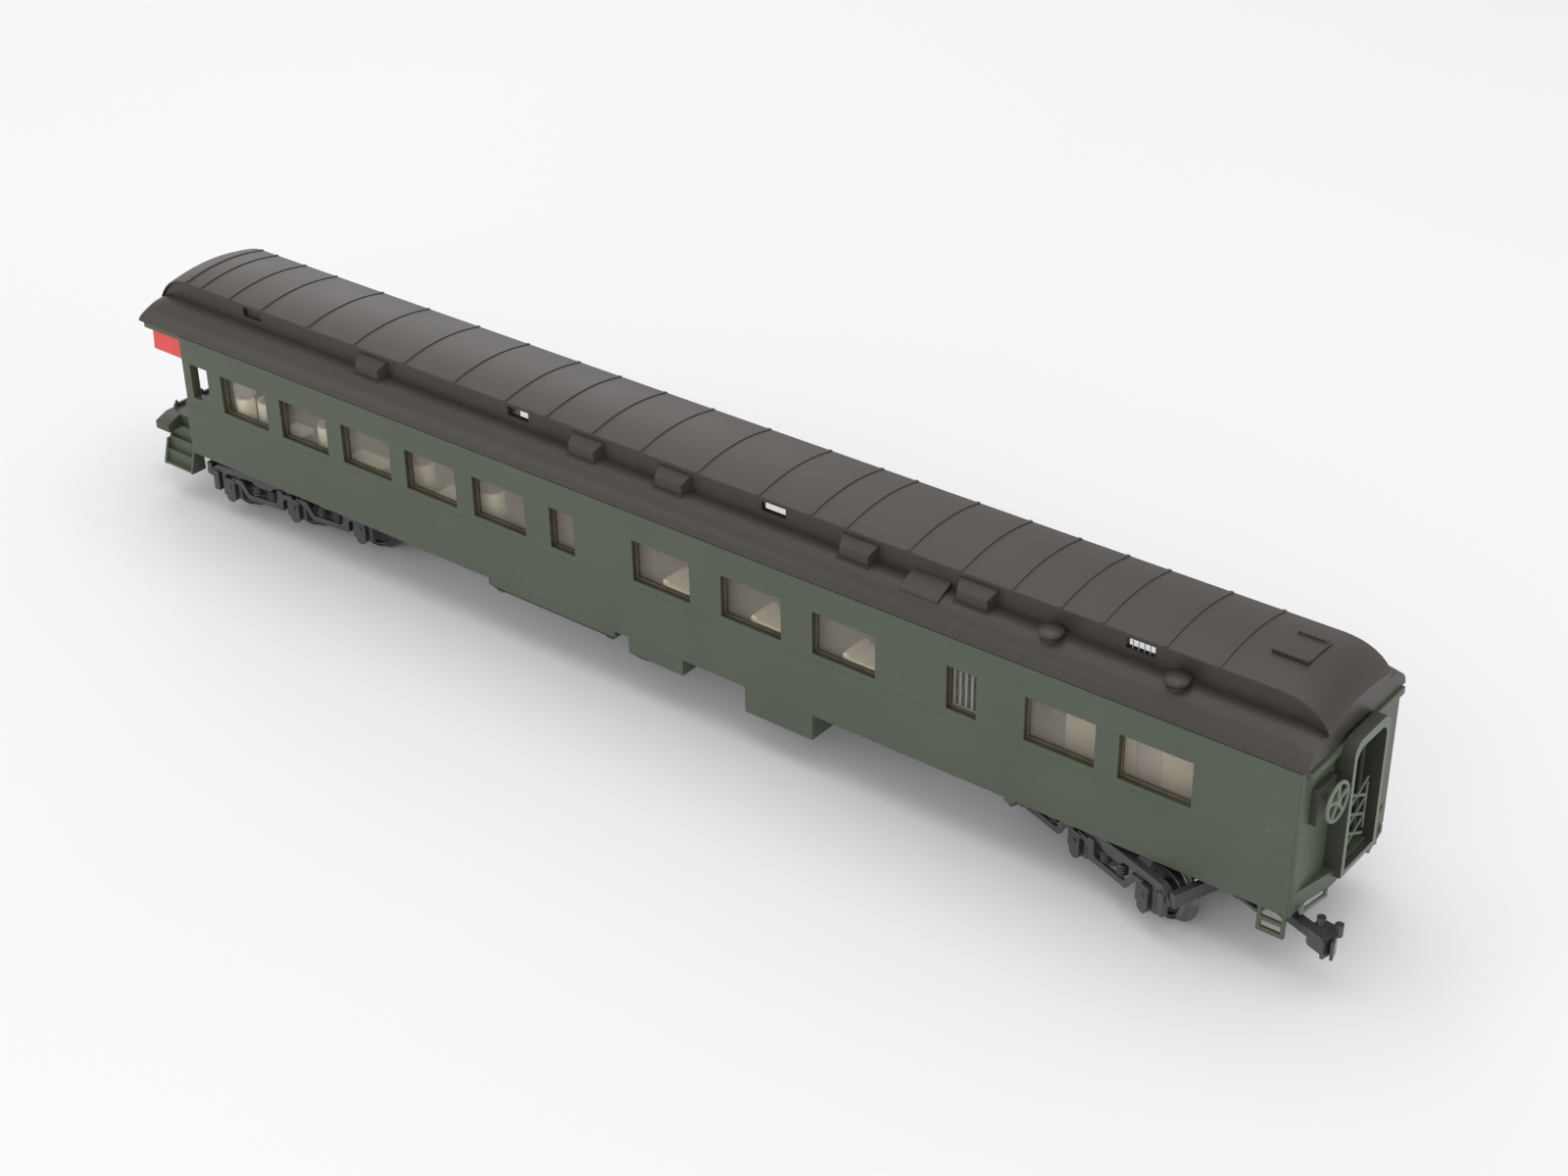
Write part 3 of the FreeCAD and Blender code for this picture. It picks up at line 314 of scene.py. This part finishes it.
# The clerestory light nearest the vestibule has fine bars; the one by the platform is blind.
LIGHT_LENGTH = 5.8
BARRED_LIGHT, BLIND_LIGHT = 33.0, 259.8
BAR_COUNT = 4
BAR_FROM_MIDDLE, BLIND_FROM_MIDDLE = 10.5, 9.9
LIGHT_LOW, LIGHT_HIGH = 49.8, 52.2
bars, blinds = bmesh.new(), bmesh.new()
for side in (-1, 1):
    y = side * BAR_FROM_MIDDLE
    for index in range(1, BAR_COUNT + 1):
        x = X_END - BARRED_LIGHT - index * LIGHT_LENGTH / (BAR_COUNT + 1)
        add_box(bars, (x - 0.05, y - 0.1, LIGHT_LOW), (x + 0.05, y + 0.1, LIGHT_HIGH))
    x, y = X_END - BLIND_LIGHT, side * BLIND_FROM_MIDDLE
    add_box(blinds, (x - LIGHT_LENGTH - 0.2, y - 0.1, LIGHT_LOW), (x + 0.2, y + 0.1, LIGHT_HIGH))
bar_grey = moulded_plastic("bar_grey", (0.34, 0.34, 0.33), (0.26, 0.26, 0.25), 0.5)
finished("clerestory_bars", bars, bar_grey, "car_body")
finished("clerestory_blinds", blinds, roof_grey, "car_body")

# ---- interior ------------------------------------------------------------------
# One pale moulding for floor and walls, with cream tub chairs, sofas, benches and low tables
# on it. The cream boards on the corridor wall behind the end windows are painted light: brighter
# and warmer than the wall, they stand for the light falling on that wall.
pale_wall = moulded_plastic("pale_wall", (0.78, 0.67, 0.57), (0.68, 0.58, 0.49), 0.55, 0.15, 60)
cream = moulded_plastic("cream", (0.97, 0.90, 0.66), (0.92, 0.83, 0.58), 0.5, 0.15, 90)
for node in ("interior_floor", "partitions"):
    softened(node, pale_wall, 0.15)
softened("lounge_chairs", cream, 0.38, segments=3)
softened("lounge_sofas", cream, 0.9, segments=3)
softened("section_seats", cream, 0.5, segments=3)
softened("lounge_tables", cream, 0.2)
# boards of painted light on the corridor wall behind the end windows
BOARD_SPANS = ((16.6, 32.4), (37.9, 52.7))
BOARD_FRONT, BOARD_BACK = -6.3, -6.05
BOARD_LOW, BOARD_HIGH = 19.15, 41.0
painted_light_boards = bmesh.new()
for start, end in BOARD_SPANS:
    add_box(painted_light_boards, (X_END - end, BOARD_FRONT, BOARD_LOW), (X_END - start, BOARD_BACK, BOARD_HIGH))
finished("corridor_painted_light", painted_light_boards, cream, "car_body")

# ---- observation platform ------------------------------------------------------
# Bulkhead, floor, end beam and step boxes, with red valances under the platform roof.
platform_olive = moulded_plastic("platform_olive", (0.066, 0.072, 0.046), (0.048, 0.054, 0.034),
                                 rough=0.5, grain=0.35, cloud=120)
softened("platform_bulkhead", coach_green, 0.1)
softened("platform_deck", platform_olive, 0.16)
softened("railing_stubs", platform_olive, 0.08)
for node in ("platform_steps_left", "platform_steps_right"):
    softened(node, coach_green, 0.1)
valance_red = moulded_plastic("valance_red", (0.76, 0.064, 0.054), (0.70, 0.057, 0.049), 0.45, 0.2, 80)
softened("platform_awnings", valance_red, 0.1)

# ---- underframe ----------------------------------------------------------------
# Black floor plate with its steel weight, brass screws, and green equipment boxes at the sides.
frame_black = moulded_plastic("frame_black", (0.030, 0.030, 0.031), (0.020, 0.020, 0.021), 0.5, 0.3, 90)
softened("underframe", frame_black, 0.15)
for node in ("side_skirts", "battery_boxes", "equipment_boxes", "sill_brackets"):
    softened(node, coach_green, 0.18)


def bare_metal(name, colour, shade, rough):
    """Turned or rolled metal with fine marks and dull patches."""
    finish = bpy.data.materials.new(name)
    finish.use_nodes = True
    tree = finish.node_tree
    shader = tree.nodes["Principled BSDF"]
    shader.inputs["Metallic"].default_value = 1.0
    place = tree.nodes.new("ShaderNodeTexCoord")
    patches = tree.nodes.new("ShaderNodeTexNoise")
    patches.inputs["Scale"].default_value = 260.0
    patches.inputs["Detail"].default_value = 6.0
    tone = tree.nodes.new("ShaderNodeValToRGB")
    tone.color_ramp.elements[0].position, tone.color_ramp.elements[1].position = 0.35, 0.65
    tone.color_ramp.elements[0].color = (*shade, 1)
    tone.color_ramp.elements[1].color = (*colour, 1)
    fine = tree.nodes.new("ShaderNodeTexNoise")
    fine.inputs["Scale"].default_value = 900.0
    relief = tree.nodes.new("ShaderNodeBump")
    relief.inputs["Strength"].default_value = 0.2
    relief.inputs["Distance"].default_value = 0.01 * MM
    dull = tree.nodes.new("ShaderNodeMapRange")
    dull.inputs["To Min"].default_value = rough - 0.1
    dull.inputs["To Max"].default_value = rough + 0.15
    link = tree.links.new
    for texture in (patches, fine):
        link(place.outputs["Object"], texture.inputs["Vector"])
    link(patches.outputs["Fac"], tone.inputs["Fac"])
    link(tone.outputs["Color"], shader.inputs["Base Color"])
    link(patches.outputs["Fac"], dull.inputs["Value"])
    link(dull.outputs["Result"], shader.inputs["Roughness"])
    link(fine.outputs["Fac"], relief.inputs["Height"])
    link(relief.outputs["Normal"], shader.inputs["Normal"])
    return finish


softened("ballast_weight", bare_metal("weight_steel", (0.42, 0.42, 0.43), (0.26, 0.25, 0.24), 0.4), 0.15)
brass = bare_metal("screw_brass", (0.72, 0.56, 0.30), (0.55, 0.41, 0.20), 0.3)
for node in ("weight_screws", "kingpin_screws"):
    softened(node, brass, 0.12)

# ---- trucks --------------------------------------------------------------------
# Two six-wheel trucks in dark grey acetal: frames, springs, couplers and their cover plates.
# The wheels are blackened metal, worn brighter on the tread, on plain steel axles.
acetal = moulded_plastic("acetal", (0.048, 0.045, 0.047), (0.033, 0.031, 0.033),
                         rough=0.36, grain=0.35, cloud=140, gloss=0.7)
axle_steel = bare_metal("axle_steel", (0.56, 0.46, 0.30), (0.38, 0.31, 0.21), 0.3)
wheel_rim = bare_metal("wheel_rim", (0.22, 0.21, 0.21), (0.14, 0.135, 0.13), 0.4)
wheel_web = bare_metal("wheel_web", (0.10, 0.095, 0.09), (0.06, 0.057, 0.055), 0.5)
AXLE_PLACES = (-19.2, 0.0, 19.2)   # along the truck, from its pivot
AXLE_HEIGHT = 6.35
WEB_RADIUS = 4.35                 # the wheel's web ends here and its rim begins
BOLT_PLACES = ((0.0, 7.9, 15.26), (-2.2, 9.6, 14.22), (2.2, 9.6, 14.22))   # from the axle: x, height, out
BOLT_RADIUS, BOLT_HEIGHT = 0.3, 0.12
for letter, station, degrees in (("a", 40.0, -19.2), ("b", 253.5, 186.5)):
    truck = "truck_" + letter
    stand = Matrix.Translation(((X_END - station) * MM, 0, 0))
    stand = stand @ Matrix.Rotation(math.radians(degrees), 4, "Z")
    for node in ("_frame", "_springs", "_coupler", "_coupler_cover"):
        softened(truck + node, acetal, 0.1)
    for number, x in enumerate(AXLE_PLACES, start=1):
        softened(truck + "_axle_%d" % number, axle_steel, 0.08)
        wheels = softened(truck + "_wheels_%d" % number, wheel_rim, 0.1)
        wheels.data.materials.append(wheel_web)
        centre = stand @ Vector((x * MM, 0, AXLE_HEIGHT * MM))
        axis = stand.to_3x3() @ Vector((0, 1, 0))
        for face in wheels.data.polygons:
            offset = face.center - centre
            if (offset - axis * offset.dot(axis)).length < WEB_RADIUS * MM:
                face.material_index = 1
    bolts = bmesh.new()
    for x in AXLE_PLACES:
        for side in (-1, 1):
            for along, height, out in BOLT_PLACES:
                place = stand @ Matrix.Translation(((x + along) * MM, side * out * MM, height * MM))
                place = place @ Matrix.Rotation(math.radians(90), 4, "X")
                bmesh.ops.create_cone(bolts, cap_ends=True, segments=12, radius1=BOLT_RADIUS * MM,
                                      radius2=BOLT_RADIUS * MM, depth=BOLT_HEIGHT * MM, matrix=place)
    finished(truck + "_bolts", bolts, acetal, truck)

# ---- final scene update --------------------------------------------------------
bpy.context.view_layer.update()
